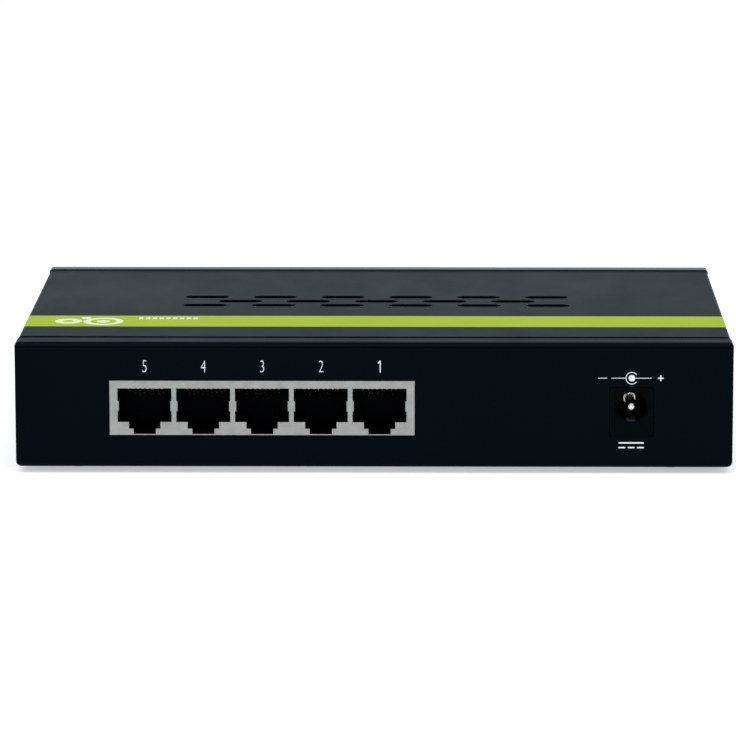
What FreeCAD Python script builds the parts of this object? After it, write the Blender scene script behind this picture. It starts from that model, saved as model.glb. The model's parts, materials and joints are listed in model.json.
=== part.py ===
import FreeCAD
import Part
import math
import os

from FreeCAD import Vector

# Five-port desktop network switch in a folded steel case. Millimetres, +Z up.
# The origin is the centre of the footprint, on the plane that the rubber feet rest on.
# The port panel faces -Y, the front bezel with the indicators faces +Y.

# ---- driving dimensions -------------------------------------------------------------------

CASE_W = 154.0           # over the port panel's rim
CASE_D = 95.8            # from port panel to the face of the front bezel
CASE_H = 27.4            # without the feet
FOOT_H = 1.2
SHEET = 1.0              # steel sheet of tray and cover
BEND_R = 1.6             # outside radius of the port panel's long bends and lower corners
CORNER_R = 0.8           # outside radius of the cover's side bends
SIDE_R = 0.5             # outside radius of the port panel's upright edges
RIM_DEPTH = 6.2          # port panel's rim, from panel face to the seam
RIM_PROUD = 0.25         # how far the rim's sides stand out from the cover's sides
RIM_DROP = 0.12          # how far the rim's top lies below the lid
SEAM = 1.0               # open joint between rim and cover
LAP = 0.08               # clearance between the cover and the flanges and lips under it

BEZEL_DEPTH = 3.8
BEZEL_WALL = 1.5
BEZEL_STEP = 0.25        # how far the bezel's top stands above the lid
BEZEL_HALF = 76.9        # half width of the bezel
BEZEL_R = 0.8            # corners of the bezel's outline
BEZEL_EDGE = 0.5         # rounding round its face
BEZEL_GAP = 0.15         # between the bezel's back and the tray and cover behind it

BOARD_T = 1.6
BOARD_TOP = 8.2          # top face of the circuit board
BOARD_X = 68.0           # half width of the board
BOARD_INSET = 1.6        # from the inner face of the panels to the board's edges

PORT_COUNT = 5
PORT_PITCH = 12.6
PORT_MID_X = -24.0       # centre of the middle port
PORT_W = 11.6            # cavity width
SHIELD_HALF = 32.8       # half width of the shield
SHIELD_Z0 = 8.42
SHIELD_Z1 = 20.25
SHIELD_T = 0.25
PANEL_PROUD = 0.15       # how far port shield, jack and light pipes stand out of their panels
CAVITY_TOP = 18.6
CAVITY_STEP = 11.25      # floor of the wide part of a cavity
CAVITY_NOTCH = 9.8       # floor of the middle step, top of the latch notch
CAVITY_FLOOR = 8.62      # floor of the latch notch
STEP_W = 6.75
NOTCH_W = 4.8
FINGER_Z = 13.6          # lower edge of the grounding fingers
FINGER_H = 2.2
CAVITY_DEPTH = 13.95
HOUSING_DEPTH = 17.75

WIRE_COUNT = 8
WIRE_PITCH = 1.02
WIRE_W = 0.42
WIRE_T = 0.3
WIRE_PIVOT_Z = 18.15
WIRE_SLOPE = math.radians(22.0)
WIRE_LENGTH = 9.2

CARRIER_W = 9.4
CARRIER_TOP = 19.5
CARRIER_UNDER = 18.75
LEAD_GAP = 0.02          # between a lead and the carrier that it lies on

JACK_X = 55.2
JACK_Z = 14.5            # centre of the plug's barrel
JACK_W = 9.3
JACK_TOP = 18.8
JACK_DEPTH = 14.15
BARREL_D = 6.4
BARREL_DEPTH = 11.0
PIN_D = 2.1
PIN_COLLAR_D = 2.6       # thicker root of the pin, held in the moulding
LEAF_PIVOT_Z = 10.4
LEAF_W = 1.9

CHIP_X = 22.0
CHIP_Y = 6.0
CHIP_SIZE = 20.0
CHIP_H = 1.4
PAD_T = 0.5              # thermal pad between chip and heatsink
SINK_SIZE = 25.0

LAMP_PORT_X = (30.0, 18.0, 6.0, -6.0, -18.0)
LAMP_POWER_X = 50.0
LAMP_LOW_Z = 14.0
LAMP_HIGH_Z = 18.6
LAMP_W = 3.2
LAMP_H = 1.6

DASH_W = 3.3             # pressed dashes on the lid
DASH_LENGTH = 9.8
DASH_STEP = 15.3
DASH_ROW_STEP = 5.3
DASH_DEPTH = 0.6

SCREW_Y = 29.0           # cover screws, from the middle of the case
SCREW_Z = 7.4
KEYHOLE_X = 35.0
KEYHOLE_Y = 2.0
KEYHOLE_D = 8.0
KEYHOLE_SLOT_W = 4.2
KEYHOLE_RUN = 7.0        # from the round hole's centre to the slot's closed end centre

# ---- places worked out from them ----------------------------------------------------------

HALF_W = CASE_W / 2
HALF_D = CASE_D / 2
CASE_Z0 = FOOT_H
CASE_Z1 = FOOT_H + CASE_H
FLOOR_TOP = CASE_Z0 + SHEET
BOARD_BOTTOM = BOARD_TOP - BOARD_T
PANEL_Y = -HALF_D                        # outer face of the port panel
RIM_Y = PANEL_Y + RIM_DEPTH
BEZEL_BACK = HALF_D - BEZEL_DEPTH
FRONT_Y = BEZEL_BACK - BEZEL_GAP         # outer face of the tray's front wall
COVER_Y0 = RIM_Y + SEAM
COVER_Y1 = BEZEL_BACK - BEZEL_GAP
COVER_X = HALF_W - RIM_PROUD             # outer face of the cover's sides
FLANGE_X = COVER_X - SHEET - LAP         # outer face of the tray's side flanges
FLANGE_Z = CASE_Z0 + 10.4
LIP_Z = CASE_Z1 - SHEET - LAP            # upper face of the lips under the cover
LIP_REACH = 6.0                          # how far a lip runs in under the cover
BOARD_REAR = PANEL_Y + SHEET + BOARD_INSET
BOARD_FRONT = FRONT_Y - SHEET - BOARD_INSET
PORT_FACE_Y = PANEL_Y - PANEL_PROUD
CAVITY_BACK = PORT_FACE_Y + CAVITY_DEPTH
HOUSING_BACK = PORT_FACE_Y + HOUSING_DEPTH
CARRIER_FRONT = PORT_FACE_Y + 2.55
CARRIER_STEM = CAVITY_BACK + 0.4         # front face of the carrier's upright part
CARRIER_BACK = CARRIER_STEM + 1.4
WIRE_PIVOT_Y = CARRIER_FRONT + 0.3
JACK_BACK = PORT_FACE_Y + JACK_DEPTH
LEAF_PIVOT_Y = JACK_BACK - 2.2
LAMP_FACE_Y = HALF_D + PANEL_PROUD
LAMP_PEG_Y = BOARD_FRONT - 1.4
LAMP_LOW_LEG_Y = LAMP_PEG_Y - 3.6
LAMP_HIGH_LEG_Y = LAMP_PEG_Y - 8.6
PIN_TAIL_Z = BOARD_BOTTOM - 1.0          # soldered ends below the board
BOARD_SCREWS = ((-63.0, -28.0), (63.0, -28.0), (-63.0, 35.0), (63.0, 35.0))


# ---- helpers ------------------------------------------------------------------------------

def block(x0, x1, y0, y1, z0, z1):
    """A plain box between two corners."""
    return Part.makeBox(x1 - x0, y1 - y0, z1 - z0, Vector(x0, y0, z0))


def centred(x, y, z0, width, depth, height):
    """A box that stands on z0 around the point x, y."""
    return block(x - width / 2, x + width / 2, y - depth / 2, y + depth / 2, z0, z0 + height)


def rod(x, y, z, radius, length, axis="Z"):
    """A cylinder from the point x, y, z along the axis."""
    directions = {"X": Vector(1, 0, 0), "Y": Vector(0, 1, 0), "Z": Vector(0, 0, 1)}
    return Part.makeCylinder(radius, length, Vector(x, y, z), directions[axis])


def edges_along(shape, axis):
    """Straight edges of the shape that run along X, Y or Z."""
    index = "XYZ".index(axis)
    chosen = []
    for edge in shape.Edges:
        if len(edge.Vertexes) != 2:
            continue
        way = edge.Vertexes[1].Point - edge.Vertexes[0].Point
        if abs(abs(way[index]) - way.Length) < 1e-6:
            chosen.append(edge)
    return chosen


def rounded(shape, radius, axis):
    """The shape with its straight edges along the axis rounded."""
    return shape.makeFillet(radius, edges_along(shape, axis))


def fused(shapes):
    """One solid out of shapes that touch or overlap."""
    return shapes[0].multiFuse(shapes[1:]).removeSplitter()


def profile_yz(points, x0, x1):
    """A polygon of (y, z) points, made solid from x0 to x1."""
    corners = [Vector(x0, y, z) for y, z in points]
    face = Part.Face(Part.makePolygon(corners + corners[:1]))
    return face.extrude(Vector(x1 - x0, 0, 0))


def ribbon(path, thickness):
    """The outline of a strip of even thickness that follows an open path of (y, z) points."""
    half = thickness / 2
    left = []
    right = []
    for i, (y, z) in enumerate(path):
        ways = []
        for a, b in ((i - 1, i), (i, i + 1)):
            if a < 0 or b >= len(path):
                continue
            dy = path[b][0] - path[a][0]
            dz = path[b][1] - path[a][1]
            length = math.hypot(dy, dz)
            ways.append((-dz / length, dy / length))
        ny = sum(way[0] for way in ways) / len(ways)
        nz = sum(way[1] for way in ways) / len(ways)
        stretch = half / (ny * ny + nz * nz)
        left.append((y + ny * stretch, z + nz * stretch))
        right.append((y - ny * stretch, z - nz * stretch))
    return left + right[::-1]


def slot_z(x, y0, y1, width, z0, z1):
    """An upright slot with round ends that runs along Y."""
    radius = width / 2
    middle = block(x - radius, x + radius, y0, y1, z0, z1)
    near = rod(x, y0, z0, radius, z1 - z0)
    far = rod(x, y1, z0, radius, z1 - z0)
    return fused([middle, near, far])


def bar_z(x0, x1, y, width, z0, z1):
    """A slot with round ends that runs along X."""
    radius = width / 2
    middle = block(x0 + radius, x1 - radius, y - radius, y + radius, z0, z1)
    near = rod(x0 + radius, y, z0, radius, z1 - z0)
    far = rod(x1 - radius, y, z0, radius, z1 - z0)
    return fused([middle, near, far])


def port_x(number):
    """Centre of a port; number 1 is nearest the power inlet."""
    return PORT_MID_X + (3 - number) * PORT_PITCH


def save(name, solids):
    """Write one node. Each entry stays a separate solid."""
    shape = solids[0] if len(solids) == 1 else Part.makeCompound(solids)
    if not shape.isValid():
        print("invalid shape:", name)
    shape.exportStep("parts/" + name + ".step")


# ---- case ---------------------------------------------------------------------------------

def rounded_block(half_w, y0, y1, z0, z1, bend, corner, side):
    """A box with bend radius along X and on its lower sides, corner on top, side upright."""
    plain = block(-half_w, half_w, y0, y1, z0, z1)
    shape = rounded(plain, bend, "X").common(rounded(plain, side, "Z"))
    shape = shape.common(upright_channel(half_w, y0, y1, z0, z1, bend))
    return shape.common(arch(half_w, y0, y1, z0, z1, corner))


def upright_channel(half_w, y0, y1, z0, z1, radius):
    """A box with its two lower edges along Y rounded."""
    shape = block(-half_w, half_w, y0, y1, z0, z1)
    low = [edge for edge in edges_along(shape, "Y") if edge.CenterOfMass.z < z0 + 0.1]
    return shape.makeFillet(radius, low)


def arch(half_w, y0, y1, z0, z1, radius):
    """A box with its two upper edges along Y rounded."""
    shape = block(-half_w, half_w, y0, y1, z0, z1)
    high = [edge for edge in edges_along(shape, "Y") if edge.CenterOfMass.z > z1 - 0.1]
    return shape.makeFillet(radius, high)


def arch_wall(half_w, y0, y1, z0, z1, radius, wall=SHEET):
    """A folded strip over the top and both sides."""
    outer = arch(half_w, y0, y1, z0, z1, radius)
    inner = arch(half_w - wall, y0 - 1, y1 + 1, z0 - 1, z1 - wall, 0.4)
    return outer.cut(inner)


def keyhole(x):
    """Wall-mounting keyhole through the tray's floor."""
    z0 = CASE_Z0 - 1
    z1 = FLOOR_TOP + 1
    hole = rod(x, KEYHOLE_Y, z0, KEYHOLE_D / 2, z1 - z0)
    return fused([hole, slot_z(x, KEYHOLE_Y, KEYHOLE_Y + KEYHOLE_RUN, KEYHOLE_SLOT_W, z0, z1)])


def countersink(side, clearance):
    """Cone and shank of a cover screw on the left (-1) or right (+1) side, at Y = 0."""
    head_r = 2.75 + clearance
    shank_r = 1.48 + clearance
    head_h = head_r - shank_r
    head = Part.makeCone(head_r, shank_r, head_h, Vector(COVER_X, 0, SCREW_Z), Vector(-1, 0, 0))
    shank = rod(COVER_X - 6.0 - clearance, 0, SCREW_Z, shank_r, 6.0 + clearance, "X")
    both = fused([head, shank])
    if side < 0:
        both = both.mirror(Vector(0, 0, 0), Vector(1, 0, 0))
    return both


def screw_places():
    """Side and Y of the four cover screws."""
    return [(side, y) for side in (-1, 1) for y in (-SCREW_Y, SCREW_Y)]


def moved(shape, x, y, z):
    """The shape, shifted."""
    copy = shape.copy()
    copy.translate(Vector(x, y, z))
    return copy


def lamp_windows():
    """Centres (x, z) of the eleven indicator windows."""
    places = [(LAMP_POWER_X, LAMP_LOW_Z)]
    for x in LAMP_PORT_X:
        places += [(x, LAMP_LOW_Z), (x, LAMP_HIGH_Z)]
    return places


def lamp_openings(y0, y1, grow):
    """The eleven indicator windows as solids from y0 to y1."""
    openings = []
    for x, z in lamp_windows():
        window = block(x - LAMP_W / 2 - grow, x + LAMP_W / 2 + grow, y0, y1,
                       z - LAMP_H / 2 - grow, z + LAMP_H / 2 + grow)
        openings.append(rounded(window, 0.3, "Y"))
    return openings


def hook_places():
    """Centres (x, z) of the bezel's four snap hooks."""
    return [(x, z) for x in (-67.0, 67.0) for z in (CASE_Z0 + 9.8, CASE_Z1 - 6.0)]


def port_rim():
    """Port panel with its rim, which turns back all round, and the joggle behind the rim."""
    top = CASE_Z1 - RIM_DROP
    outer = rounded_block(HALF_W, PANEL_Y, HALF_D, CASE_Z0, top, BEND_R, CORNER_R, SIDE_R)
    inner = rounded_block(HALF_W - SHEET, PANEL_Y + SHEET, HALF_D + 1, FLOOR_TOP,
                          top - SHEET, BEND_R - SHEET, 0.4, 0.2)
    keep = block(-CASE_W, CASE_W, PANEL_Y - 1, RIM_Y, CASE_Z0 - 1, CASE_Z1 + 1)
    step = HALF_W - FLANGE_X - 0.4
    joggle = arch_wall(HALF_W - 0.4, RIM_Y - 1.3, RIM_Y - 0.1, FLOOR_TOP - 0.1,
                       LIP_Z + step, 0.4, SHEET + step)
    return fused([outer.cut(inner).common(keep), joggle])


def front_wall():
    """Upright wall behind the bezel, as wide and high as the space under the cover."""
    y0 = FRONT_Y - SHEET
    low_round = upright_channel(FLANGE_X, y0, FRONT_Y, CASE_Z0, LIP_Z, 1.2)
    return low_round.common(arch(FLANGE_X, y0, FRONT_Y, CASE_Z0, LIP_Z, 0.4))


def base_tray():
    """Floor, port panel, front wall and side flanges, folded from one sheet."""
    gap = 0.15
    channel = upright_channel(FLANGE_X, RIM_Y - 1, FRONT_Y, CASE_Z0, FLANGE_Z, 1.2)
    hollow = upright_channel(FLANGE_X - SHEET, RIM_Y - 2, FRONT_Y + 1, FLOOR_TOP, FLANGE_Z + 1, 0.4)
    rear_lip = arch_wall(FLANGE_X, RIM_Y - 1.2, RIM_Y + LIP_REACH, FLOOR_TOP, LIP_Z, 0.4)
    front_lip = arch_wall(FLANGE_X, FRONT_Y - LIP_REACH, FRONT_Y - 0.2, FLOOR_TOP, LIP_Z, 0.4)
    tray = fused([port_rim(), channel.cut(hollow), rear_lip, front_lip, front_wall()])
    y0 = PANEL_Y - 1
    y1 = PANEL_Y + SHEET + 1
    ports = block(PORT_MID_X - SHIELD_HALF - gap, PORT_MID_X + SHIELD_HALF + gap, y0, y1,
                  BOARD_TOP - gap / 2, SHIELD_Z1 + gap)
    jack = block(JACK_X - JACK_W / 2 - gap, JACK_X + JACK_W / 2 + gap, y0, y1,
                 BOARD_TOP - gap / 2, JACK_TOP + gap)
    cuts = [rounded(ports, 0.3, "Y"), rounded(jack, 0.3, "Y")]
    cuts += lamp_openings(FRONT_Y - SHEET - 1, FRONT_Y + 1, 0.3)
    for x, z in hook_places():
        cuts.append(block(x - 2.2, x + 2.2, FRONT_Y - SHEET - 1, FRONT_Y + 1, z - 1.0, z + 1.4))
    cuts += [keyhole(-KEYHOLE_X), keyhole(KEYHOLE_X)]
    cuts += [moved(countersink(side, 0.05), 0, y, 0) for side, y in screw_places()]
    return tray.cut(cuts)


def snap_hook(x, z):
    """Hook behind the bezel: an arm through the tray's front wall with a barb on top."""
    arm_back = FRONT_Y - SHEET - 0.2
    side_view = [
        (HALF_D - 1.2, z - 0.8),
        (arm_back - 1.8, z - 0.8),
        (arm_back - 1.8, z + 0.5),
        (arm_back, z + 1.8),
        (arm_back, z + 0.3),
        (HALF_D - 1.2, z + 0.3),
    ]
    return profile_yz(side_view, x - 2.0, x + 2.0)


def front_bezel():
    """Moulded face with the indicator windows, hollow behind, on four snap hooks."""
    top = CASE_Z1 + BEZEL_STEP
    outer = block(-BEZEL_HALF, BEZEL_HALF, BEZEL_BACK, HALF_D, CASE_Z0, top)
    outer = rounded(outer, BEZEL_R, "Y")
    face_edges = [edge for edge in outer.Edges
                  if abs(edge.CenterOfMass.y - HALF_D) < 1e-6]
    outer = outer.makeFillet(BEZEL_EDGE, face_edges)
    pocket = block(-BEZEL_HALF + BEZEL_WALL, BEZEL_HALF - BEZEL_WALL, BEZEL_BACK - 1,
                   HALF_D - BEZEL_WALL, CASE_Z0 + BEZEL_WALL, top - BEZEL_WALL)
    dish = outer.cut(rounded(pocket, 0.6, "Y"))
    hooks = [snap_hook(x, z) for x, z in hook_places()]
    return fused([dish] + hooks).cut(lamp_openings(BEZEL_BACK - 1, HALF_D + 1, 0.0))


def dash_places():
    """Start x and y of the pressed dashes: three staggered rows, evenly spaced."""
    places = []
    for row, count in enumerate((6, 5, 6)):
        y = PANEL_Y + 45.5 + row * DASH_ROW_STEP
        first = -(count - 1) * DASH_STEP / 2 - DASH_LENGTH / 2
        places += [(first + i * DASH_STEP, y) for i in range(count)]
    return places


def pressed_dashes():
    """Recesses of the pressed dashes, and the matching swellings under the lid."""
    recesses = []
    swellings = []
    for x, y in dash_places():
        recesses.append(bar_z(x, x + DASH_LENGTH, y, DASH_W, CASE_Z1 - DASH_DEPTH, CASE_Z1 + 1))
        swellings.append(bar_z(x - 0.6, x + DASH_LENGTH + 0.6, y, DASH_W + 1.2,
                               CASE_Z1 - SHEET - DASH_DEPTH, CASE_Z1 - 0.5))
    return recesses, swellings


def vent_slots():
    """Two groups of upright slots through both side walls."""
    slots = []
    width = 2.0
    for group in (-1, 1):
        for i in range(7):
            y = group * (9.0 + i * 4.2)
            for side in (-1, 1):
                x0 = side * HALF_W - 2
                bottom = rod(x0, y, 14.0, width / 2, 4, "X")
                top = rod(x0, y, 22.6, width / 2, 4, "X")
                middle = block(x0, x0 + 4, y - width / 2, y + width / 2, 14.0, 22.6)
                slots.append(fused([bottom, middle, top]))
    return slots


def top_cover():
    """Lid and both side walls, folded from one sheet."""
    shell = arch_wall(COVER_X, COVER_Y0, COVER_Y1, CASE_Z0 + 0.3, CASE_Z1, CORNER_R)
    recesses, swellings = pressed_dashes()
    cuts = recesses + vent_slots()
    cuts += [moved(countersink(side, 0.05), 0, y, 0) for side, y in screw_places()]
    return fused([shell] + swellings).cut(cuts)


def cover_screws():
    """Four countersunk screws with a cross recess."""
    screws = []
    for side, y in screw_places():
        screw = moved(countersink(side, 0.0), 0, y, 0)
        face = side * COVER_X
        across = block(face - 0.9, face + 0.9, y - 1.35, y + 1.35, SCREW_Z - 0.28, SCREW_Z + 0.28)
        upright = block(face - 0.9, face + 0.9, y - 0.28, y + 0.28, SCREW_Z - 1.35, SCREW_Z + 1.35)
        screws.append(screw.cut([across, upright]))
    return screws


def foot(x, y):
    """Self-adhesive rubber disc with a rounded lower edge and a shallow dish in its sole."""
    radius = 5.5
    disc = rod(x, y, 0, radius, FOOT_H)
    sole = [edge for edge in disc.Edges if edge.CenterOfMass.z < 0.1 and len(edge.Vertexes) == 1]
    disc = disc.makeFillet(0.5, sole)
    return disc.cut(rod(x, y, -1, 2.6, 1.25))


def underside_label():
    """Blank adhesive label on the tray's floor."""
    label = block(-22, 22, -33, -11, CASE_Z0 - 0.12, CASE_Z0)
    return rounded(label, 1.5, "Z")


# ---- board --------------------------------------------------------------------------------

def wire_xs(number):
    """X of the eight wires of one port."""
    first = port_x(number) - WIRE_PITCH * (WIRE_COUNT - 1) / 2
    return [first + i * WIRE_PITCH for i in range(WIRE_COUNT)]


def lead_tail_y(index):
    """Rows in which the port leads enter the board, in turn."""
    return CARRIER_BACK + (1.45 if index % 2 else 0.5)


def circuit_board():
    """Board with its screw holes and the holes for every soldered pin."""
    board = block(-BOARD_X, BOARD_X, BOARD_REAR, BOARD_FRONT, BOARD_BOTTOM, BOARD_TOP)
    board = rounded(board, 2.0, "Z")
    through = BOARD_T + 2
    z0 = BOARD_BOTTOM - 1
    holes = [rod(x, y, z0, 1.65, through) for x, y in BOARD_SCREWS]
    for number in range(1, PORT_COUNT + 1):
        for i, x in enumerate(wire_xs(number)):
            holes.append(rod(x, lead_tail_y(i), z0, 0.42, through))
    for x, y in shield_legs():
        holes.append(rod(x, y, z0, 0.9, through))
    for x, y in jack_legs():
        holes.append(rod(x, y, z0, 1.2, through))
    for x in (LAMP_POWER_X,) + LAMP_PORT_X:
        holes.append(rod(x, LAMP_PEG_Y, z0, 0.9, through))
    for x, y in latch_pegs():
        holes.append(rod(x, y, z0, 1.35, through))
    return board.cut(holes)


def board_standoffs():
    """Four round posts, pressed into the tray's floor, with a threaded hole."""
    posts = []
    for x, y in BOARD_SCREWS:
        post = rod(x, y, FLOOR_TOP, 2.8, BOARD_BOTTOM - FLOOR_TOP)
        posts.append(post.cut(rod(x, y, FLOOR_TOP - 1, 1.5, 8)))
    return posts


def board_screws():
    """Four pan-head screws that hold the board on its posts."""
    screws = []
    for x, y in BOARD_SCREWS:
        head = rod(x, y, BOARD_TOP, 2.8, 1.8)
        rim = [edge for edge in head.Edges if edge.CenterOfMass.z > BOARD_TOP + 1.7]
        head = head.makeFillet(0.7, [edge for edge in rim if len(edge.Vertexes) == 1])
        shank = rod(x, y, FLOOR_TOP + 0.6, 1.46, BOARD_TOP - FLOOR_TOP)
        top = BOARD_TOP + 1.8
        across = centred(x, y, top - 0.9, 2.8, 0.55, 2)
        along = centred(x, y, top - 0.9, 0.55, 2.8, 2)
        screws.append(fused([head, shank]).cut([across, along]))
    return screws


# ---- ports --------------------------------------------------------------------------------

def port_opening(number, y0, y1, grow):
    """The stepped opening of one port as a solid: wide part, middle step and latch notch."""
    x = port_x(number)
    wide = PORT_W / 2 + grow
    step = STEP_W / 2 + grow
    notch = NOTCH_W / 2 + grow
    return fused([
        block(x - wide, x + wide, y0, y1, CAVITY_STEP - grow, CAVITY_TOP + grow),
        block(x - step, x + step, y0, y1, CAVITY_NOTCH - grow, CAVITY_STEP + 1),
        block(x - notch, x + notch, y0, y1, CAVITY_FLOOR - grow, CAVITY_NOTCH + 1),
    ])


def shield_legs():
    """Places of the shield's soldered legs, at its two ends."""
    left = PORT_MID_X - SHIELD_HALF + SHIELD_T / 2
    right = PORT_MID_X + SHIELD_HALF - SHIELD_T / 2
    return [(x, PORT_FACE_Y + y) for x in (left, right) for y in (6.0, 13.5)]


def latch_pegs():
    """Places of the port block's moulded pegs."""
    return [(port_x(1) - PORT_PITCH / 2, PORT_FACE_Y + 9.0),
            (port_x(5) + PORT_PITCH / 2, PORT_FACE_Y + 9.0)]


def port_housing():
    """Moulded block with the five cavities, each with a channel for its contact carrier."""
    gap = 0.05
    x0 = PORT_MID_X - SHIELD_HALF + SHIELD_T + gap
    x1 = PORT_MID_X + SHIELD_HALF - SHIELD_T - gap
    front = PORT_FACE_Y + SHIELD_T + gap
    top = SHIELD_Z1 - SHIELD_T - gap
    body = block(x0, x1, front, HOUSING_BACK, BOARD_TOP, top)
    cuts = []
    for number in range(1, PORT_COUNT + 1):
        x = port_x(number)
        cuts.append(port_opening(number, front - 1, CAVITY_BACK, 0.08))
        half = CARRIER_W / 2 + 0.05
        cuts.append(block(x - half, x + half, CARRIER_FRONT - 0.35, HOUSING_BACK + 1,
                          CAVITY_TOP - 0.5, top + 1))
        cuts.append(block(x - half, x + half, CARRIER_STEM - 0.05, HOUSING_BACK + 1,
                          SHIELD_Z0 - 1, top + 1))
    body = body.cut(cuts)
    pegs = [rod(x, y, PIN_TAIL_Z, 1.25, SHIELD_Z0 - PIN_TAIL_Z + 1) for x, y in latch_pegs()]
    return fused([body] + pegs)


def lead_path(index):
    """Fixed run of one wire: nose, along the carrier's top, down behind it and into the board."""
    tail = lead_tail_y(index)
    nose = CARRIER_FRONT - WIRE_T / 2 - LEAD_GAP
    high = CARRIER_TOP + WIRE_T / 2 + LEAD_GAP
    return [
        (nose, CARRIER_UNDER - 0.15),
        (nose, high - 0.1),
        (nose + 0.1, high),
        (tail - 0.4, high),
        (tail, high - 0.4),
        (tail, PIN_TAIL_Z),
    ]


def port_leads(number):
    """The eight fixed wire runs of one port."""
    leads = []
    for i, x in enumerate(wire_xs(number)):
        outline = ribbon(lead_path(i), WIRE_T)
        leads.append(profile_yz(outline, x - WIRE_W / 2, x + WIRE_W / 2))
    return leads


def contact_carrier(number):
    """Moulded insert of one port: a bar that the wires lie on, and a stem behind the cavity."""
    x = port_x(number)
    x0 = x - CARRIER_W / 2
    x1 = x + CARRIER_W / 2
    bar = block(x0, x1, CARRIER_FRONT, CARRIER_BACK, CARRIER_UNDER, CARRIER_TOP)
    stem = block(x0, x1, CARRIER_STEM, CARRIER_BACK, BOARD_TOP + 0.02, CARRIER_TOP)
    return fused([bar, stem])


def port_contacts(number):
    """The eight sprung ends of one port's wires, which swing up as a plug goes in."""
    run_y = math.cos(WIRE_SLOPE) * WIRE_LENGTH
    run_z = math.sin(WIRE_SLOPE) * WIRE_LENGTH
    path = [
        (WIRE_PIVOT_Y, WIRE_PIVOT_Z),
        (WIRE_PIVOT_Y + run_y, WIRE_PIVOT_Z - run_z),
        (WIRE_PIVOT_Y + run_y + 0.8, WIRE_PIVOT_Z - run_z + 0.05),
    ]
    outline = ribbon(path, WIRE_T)
    wires = []
    for x in wire_xs(number):
        x0 = x - WIRE_W / 2
        bend = rod(x0, WIRE_PIVOT_Y, WIRE_PIVOT_Z, 0.22, WIRE_W, "X")
        wires.append(fused([profile_yz(outline, x0, x0 + WIRE_W), bend]))
    return wires


def ground_finger(x, way):
    """Sprung grounding finger of the shield, bulging from one side wall of a cavity."""
    wall = x + way * PORT_W / 2
    t = 0.2
    outer = ((0.0, 0.0), (0.25, 0.04), (0.34, 0.5), (0.34, 2.4), (0.05, 6.0))
    inner = ((0.0, 5.6), (0.34 - t, 2.4), (0.34 - t, 0.6), (0.1, 0.04 + t), (0.0, t))
    plan = [Vector(wall - way * inward, PORT_FACE_Y + deep, FINGER_Z) for inward, deep in outer + inner]
    face = Part.Face(Part.makePolygon(plan + plan[:1]))
    return face.extrude(Vector(0, 0, FINGER_H))


def port_shield():
    """Tinned sheet shield over the front, top, sides and back of the port block."""
    x0 = PORT_MID_X - SHIELD_HALF
    x1 = PORT_MID_X + SHIELD_HALF
    back = HOUSING_BACK + SHIELD_T + 0.05
    outer = block(x0, x1, PORT_FACE_Y, back, SHIELD_Z0, SHIELD_Z1)
    outer = rounded(outer, 0.3, "Z")
    inner = block(x0 + SHIELD_T, x1 - SHIELD_T, PORT_FACE_Y + SHIELD_T, back - SHIELD_T,
                  SHIELD_Z0 - 1, SHIELD_Z1 - SHIELD_T)
    shell = outer.cut(inner)
    openings = [port_opening(n, PORT_FACE_Y - 1, PORT_FACE_Y + SHIELD_T + 0.01, 0.0)
                for n in range(1, PORT_COUNT + 1)]
    shell = shell.cut(openings)
    pieces = [shell]
    for number in range(1, PORT_COUNT + 1):
        for way in (-1, 1):
            pieces.append(ground_finger(port_x(number), way))
    for x, y in shield_legs():
        pieces.append(block(x - SHIELD_T / 2, x + SHIELD_T / 2, y - 0.7, y + 0.7,
                            PIN_TAIL_Z, SHIELD_Z0 + 1))
    return fused(pieces)


# ---- power inlet --------------------------------------------------------------------------

def jack_legs():
    """Places of the inlet's soldered tabs: pin, sleeve spring and side tab."""
    return [(JACK_X, JACK_BACK + 0.2), (JACK_X, LEAF_PIVOT_Y - 0.8)]


def leaf_path():
    """Side view of the sleeve spring, from its pivot to its free tip near the mouth."""
    return [
        (LEAF_PIVOT_Y, LEAF_PIVOT_Z),
        (LEAF_PIVOT_Y - 4.8, LEAF_PIVOT_Z + 0.7),
        (LEAF_PIVOT_Y - 7.4, LEAF_PIVOT_Z + 1.75),
        (LEAF_PIVOT_Y - 9.2, LEAF_PIVOT_Z + 1.35),
        (LEAF_PIVOT_Y - 10.4, LEAF_PIVOT_Z + 0.5),
    ]


def power_jack_housing():
    """Moulded body of the power inlet, with its barrel and the spring's chamber."""
    half = JACK_W / 2
    body = block(JACK_X - half, JACK_X + half, PORT_FACE_Y, JACK_BACK, BOARD_TOP, JACK_TOP)
    body = rounded(body, 0.6, "Y")
    barrel = rod(JACK_X, PORT_FACE_Y, JACK_Z, BARREL_D / 2, BARREL_DEPTH, "Y")
    mouth = Part.makeCone(BARREL_D / 2 + 0.6, BARREL_D / 2, 0.6,
                          Vector(JACK_X, PORT_FACE_Y, JACK_Z), Vector(0, 1, 0))
    bore = rod(JACK_X, PORT_FACE_Y + 5, JACK_Z, PIN_COLLAR_D / 2, 20, "Y")
    chamber = block(JACK_X - 1.4, JACK_X + 1.4, PORT_FACE_Y + 1.1, LEAF_PIVOT_Y + 0.8,
                    BOARD_TOP + 0.9, JACK_Z - 2.0)
    tab_y = jack_legs()[1][1]
    well = block(JACK_X - 1.4, JACK_X + 1.4, tab_y - 0.5, tab_y + 0.5, BOARD_TOP - 1, BOARD_TOP + 2)
    return body.cut([barrel, mouth, bore, chamber, well])


def power_jack_pin():
    """Centre pin with a round nose and a thicker root."""
    radius = PIN_D / 2
    nose_y = PORT_FACE_Y + 0.9 + radius
    root_y = PORT_FACE_Y + BARREL_DEPTH
    shank = rod(JACK_X, nose_y, JACK_Z, radius, root_y - nose_y, "Y")
    nose = Part.makeSphere(radius, Vector(JACK_X, nose_y, JACK_Z))
    root = rod(JACK_X, root_y, JACK_Z, PIN_COLLAR_D / 2, JACK_BACK - root_y, "Y")
    return fused([shank, nose, root])


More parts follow.
